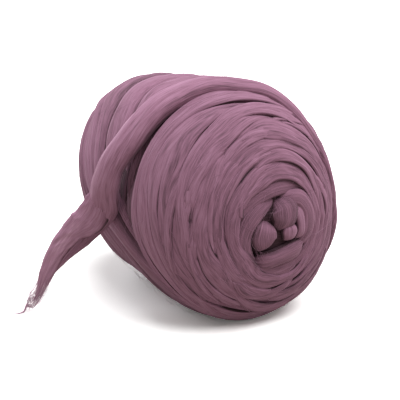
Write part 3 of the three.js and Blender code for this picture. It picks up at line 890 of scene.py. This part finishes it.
class YARN_OT_loose_end(bpy.types.Operator):
    """Lay the last wrap over the ball, with its fold and its wispy tip"""

    bl_idname = "yarn.loose_end"
    bl_label = "Lay the loose end"

    def execute(self, context):
        scene = context.scene
        settings = scene.yarn_loose_end
        rng = np.random.default_rng(scene.yarn_ball.seed + 100)
        wool = Wool()
        route = route_of_loose_end(430)
        for strand in (LAST_WRAP, TAIL):
            strand_on_route(wool, rng, route, **strand)
        tip_fibres(wool, rng, route, settings.wisps)
        last_wisp(wool, rng, settings.wisps // 5)
        # The loose end is a paler copy of the wound wool: painted light where it lies on top
        piece = wool.piece("loose_roving", wool_material("combed wool, loose", scene.yarn_wool, 1.12))
        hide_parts("loose_end")
        return {"FINISHED"}


class YARN_OT_inner_turns(bpy.types.Operator):
    """Wind the inner turns that fill the ball"""

    bl_idname = "yarn.inner_turns"
    bl_label = "Wind the inner turns"

    def execute(self, context):
        scene = context.scene
        ball = scene.yarn_ball
        rng = np.random.default_rng(ball.seed)
        wool = Wool()
        # A closed body of wool well under the skin, found by rays from the middle of the ball, painted dark
        # as painted shade
        station = np.cos(np.linspace(0.02, math.pi - 0.02, 90))
        turn = np.linspace(0, 2 * math.pi, 121)[:-1]
        y = np.where(station > 0, -NEAR_REACH, -FAR_REACH) * station * 0.92
        axis = np.stack((AXIS_SWAY * station, y, AXIS_TILT * station), -1)[:, None, :]
        station = station[:, None, None]
        ray = np.stack((np.cos(turn), 0 * turn, np.sin(turn)), -1)[None]
        aim = unit(axis + 0.1 * ray * np.abs(1 - station ** 2) ** 0.5)
        skin = to_skin(np.zeros_like(aim), aim)
        depth = 0.0155 + 0.002 * np.sin(7 * turn)[None, :, None] * np.sin(9 * station)
        wool.add(skin - form_normal(skin) * depth, -0.75, 0.4, 0.7, False)
        # The turns that show down the creases
        angle = np.arange(12) * math.pi / 6
        for i, place in enumerate(UNDER_TURNS):
            middle = place + UNDER_LEAN * np.cos(angle - i * UNDER_LEAN_STEP)
            wind(wool, rng, middle + UNDER_HALF, middle - UNDER_HALF, UNDER_CROWN, UNDER_WINDING, ball)
        # The inner wool is a darker copy of the wound wool: painted shade
        piece_of_ball(wool, "inner_turns", scene, "combed wool, inner", 0.8)
        return {"FINISHED"}


class YARN_OT_wraps(bpy.types.Operator):
    """Wind the wraps that show, from the far end to the near one"""

    bl_idname = "yarn.wraps"
    bl_label = "Wind the wraps"

    def execute(self, context):
        scene = context.scene
        ball = scene.yarn_ball
        rng = np.random.default_rng(ball.seed + 1)
        near_winding = Winding(ball.strand_thickness, True, 0.7, 4.0, 0.0)
        for name, creases, crowns, winding in (
            ("far_wraps", FAR_CREASES, FAR_CROWNS, FAR_WINDING),
            ("middle_wraps", MIDDLE_CREASES, MIDDLE_CROWNS, MIDDLE_WINDING),
            ("near_wraps", NEAR_CREASES[:6], NEAR_CROWNS[:5], near_winding),
            ("end_wraps", NEAR_CREASES[5:], NEAR_CROWNS[5:], near_winding),
        ):
            wool = Wool()
            for outer, inner, crown in zip(creases, creases[1:], crowns):
                wind(wool, rng, outer, inner, crown, winding, ball)
            piece_of_ball(wool, name, scene)
        return {"FINISHED"}


class YARN_OT_crossing_locks(bpy.types.Operator):
    """Lay thin locks slantwise over the near wraps, and the loose fibres that stand off the ball"""

    bl_idname = "yarn.crossing_locks"
    bl_label = "Lay the crossing locks"

    def execute(self, context):
        scene = context.scene
        ball = scene.yarn_ball
        rng = np.random.default_rng(ball.seed + 2)
        wool = Wool()
        steps = 56
        for _ in range(ball.crossing_locks):
            angle = rng.uniform(0, 2 * math.pi) + np.linspace(0, rng.uniform(0.8, 1.7), steps)
            start = rng.uniform(0.05, 0.132)
            length = start + np.linspace(0, rng.uniform(-0.016, 0.016), steps)
            length = length + 0.002 * np.sin(np.linspace(0, rng.uniform(2, 5), steps))
            crossing_lock(wool, rng, length, angle, ball)
        piece_of_ball(wool, "crossing_locks", scene)
        wool = Wool()
        steps = np.linspace(0, 1, 7)
        for _ in range(ball.fibres):
            slant = rng.normal(0, 0.35)
            reach = rng.uniform(0.008, 0.026)
            first = rng.uniform(0.02, 0.34)
            length = first + reach * math.sin(slant) * steps + 0.0015 * np.sin(rng.uniform(1, 5) * steps)
            radius = max(0.02, float(np.interp(first, LENGTHS, SKIN_RADIUS)))
            angle = rng.uniform(0, 2 * math.pi) + reach * math.cos(slant) / radius * steps
            skin = skin_point(length, angle)
            level = np.maximum(band_level(length, angle), 0.0) + 0.0003
            height = level + rng.uniform(0.0003, 0.0028) * np.sin(math.pi * steps * rng.uniform(0.5, 1))
            hair(wool, skin + form_normal(skin) * height[:, None], rng.uniform(0.00008, 0.00014),
                 rng.uniform(0.2, 0.6))
        piece_of_ball(wool, "loose_fibres", scene)
        return {"FINISHED"}


class YARN_OT_pole_folds(bpy.types.Operator):
    """Fold the first turns together at both ends of the ball"""

    bl_idname = "yarn.pole_folds"
    bl_label = "Fold the ends"

    def execute(self, context):
        scene = context.scene
        ball = scene.yarn_ball
        rng = np.random.default_rng(ball.seed + 3)
        for name, folds, pole, facing in (
            ("near_folds", NEAR_FOLDS, (AXIS_SWAY, -NEAR_REACH, AXIS_TILT), -1),
            ("far_folds", FAR_FOLDS, (-AXIS_SWAY, FAR_REACH, -AXIS_TILT), 1),
        ):
            wool = Wool()
            for fold in folds:
                fold_on_pole(wool, rng, fold, pole, facing, ball)
            piece_of_ball(wool, name, scene)
        return {"FINISHED"}


# Stage

def show_camera(tree, shown, lighting, output):
    """Give the camera one shader to look at, and let another one light the ball."""
    seen = add_node(tree, "LightPath", {}).outputs["Is Camera Ray"]
    mix = add_node(tree, "MixShader", {"Fac": seen, 1: lighting, 2: shown})
    tree.links.new(mix.outputs["Shader"], tree.nodes[output].inputs["Surface"])


def floor_material(stage):
    """A pale matt floor whose shadows stay light, and which throws a dimmer light back on the ball."""
    material = bpy.data.materials.new("pale floor")
    material.use_nodes = True
    tree = material.node_tree
    tree.nodes.remove(tree.nodes["Principled BSDF"])
    color = (*(c * stage.floor_light for c in stage.floor_color), 1)
    paint = add_node(tree, "BsdfDiffuse", {"Color": color}).outputs["BSDF"]
    glow = add_node(tree, "Emission", {"Strength": stage.floor_glow}).outputs["Emission"]
    both = add_node(tree, "AddShader", {0: paint, 1: glow}).outputs["Shader"]
    bounce = add_node(tree, "BsdfDiffuse", {"Color": (0.45, 0.42, 0.37, 1)}).outputs["BSDF"]
    show_camera(tree, both, bounce, "Material Output")
    return material


class YARN_OT_stage(bpy.types.Operator):
    """Set the pale floor and the soft light"""

    bl_idname = "yarn.stage"
    bl_label = "Set the stage"

    def execute(self, context):
        scene = context.scene
        stage = scene.yarn_stage
        size = 6.0
        mesh = bpy.data.meshes.new("floor")
        corners = [(-size, -size, 0), (size, -size, 0), (size, size, 0), (-size, size, 0)]
        mesh.from_pydata(corners, [], [(0, 1, 2, 3)])
        mesh.materials.append(floor_material(stage))
        floor = bpy.data.objects.new("floor", mesh)
        scene.collection.objects.link(floor)
        for name, strength, spread, color, toward in (
            ("top light", stage.sun, 60, (1, 1, 1), (0.2, -0.22, 1)),
            ("side light", stage.side_light, 45, (0.93, 0.97, 1.0), (-0.5, 1.1, 0.8)),
            ("fill light", stage.fill_light, 60, (1, 1, 1), (0.9, -0.3, 0.1)),
        ):
            light = bpy.data.lights.new(name, "SUN")
            light.energy = strength
            light.angle = math.radians(spread)
            light.color = color
            lamp = bpy.data.objects.new(name, light)
            lamp.rotation_euler = Vector(toward).to_track_quat("Z", "Y").to_euler()
            scene.collection.objects.link(lamp)
        world = bpy.data.worlds.new("surround")
        world.use_nodes = True
        tree = world.node_tree
        tree.nodes.remove(tree.nodes["Background"])
        glow = add_node(tree, "Background", {"Color": (1, 0.97, 0.9, 1), "Strength": stage.surround})
        backdrop = add_node(tree, "Background", {"Color": (1, 1, 1, 1), "Strength": 1.0})
        show_camera(tree, backdrop.outputs["Background"], glow.outputs["Background"], "World Output")
        scene.world = world
        scene.view_settings.view_transform = "Standard"
        return {"FINISHED"}


OPERATORS = (
    YARN_OT_camera,
    YARN_OT_loose_end,
    YARN_OT_inner_turns,
    YARN_OT_wraps,
    YARN_OT_crossing_locks,
    YARN_OT_pole_folds,
    YARN_OT_stage,
)
SETTINGS = (
    ("yarn_wool", WoolSettings),
    ("yarn_ball", BallSettings),
    ("yarn_loose_end", LooseEndSettings),
    ("yarn_stage", StageSettings),
)


class YARN_PT_panel(bpy.types.Panel):
    """Sizes, colours and steps of the ball"""

    bl_idname = "YARN_PT_panel"
    bl_label = "Merino yarn"
    bl_space_type = "VIEW_3D"
    bl_region_type = "UI"
    bl_category = "Merino yarn"

    def draw(self, context):
        layout = self.layout
        for name, group in SETTINGS:
            box = layout.box()
            for field in group.__annotations__:
                box.prop(getattr(context.scene, name), field)
        for operator in OPERATORS:
            layout.operator(operator.bl_idname)


def register():
    """Make the settings, the steps and the panel known to Blender."""
    for _, group in SETTINGS:
        bpy.utils.register_class(group)
    for operator in OPERATORS:
        bpy.utils.register_class(operator)
    bpy.utils.register_class(YARN_PT_panel)
    for name, group in SETTINGS:
        setattr(bpy.types.Scene, name, PointerProperty(type=group))


def unregister():
    """Take them out again."""
    for name, _ in SETTINGS:
        delattr(bpy.types.Scene, name)
    bpy.utils.unregister_class(YARN_PT_panel)
    for operator in reversed(OPERATORS):
        bpy.utils.unregister_class(operator)
    for _, group in reversed(SETTINGS):
        bpy.utils.unregister_class(group)


def main():
    """Make the ball on its stage."""
    register()
    bpy.ops.yarn.camera()
    bpy.ops.yarn.loose_end()
    bpy.ops.yarn.inner_turns()
    bpy.ops.yarn.wraps()
    bpy.ops.yarn.crossing_locks()
    bpy.ops.yarn.pole_folds()
    bpy.ops.yarn.stage()


if __name__ == "__main__":
    main()
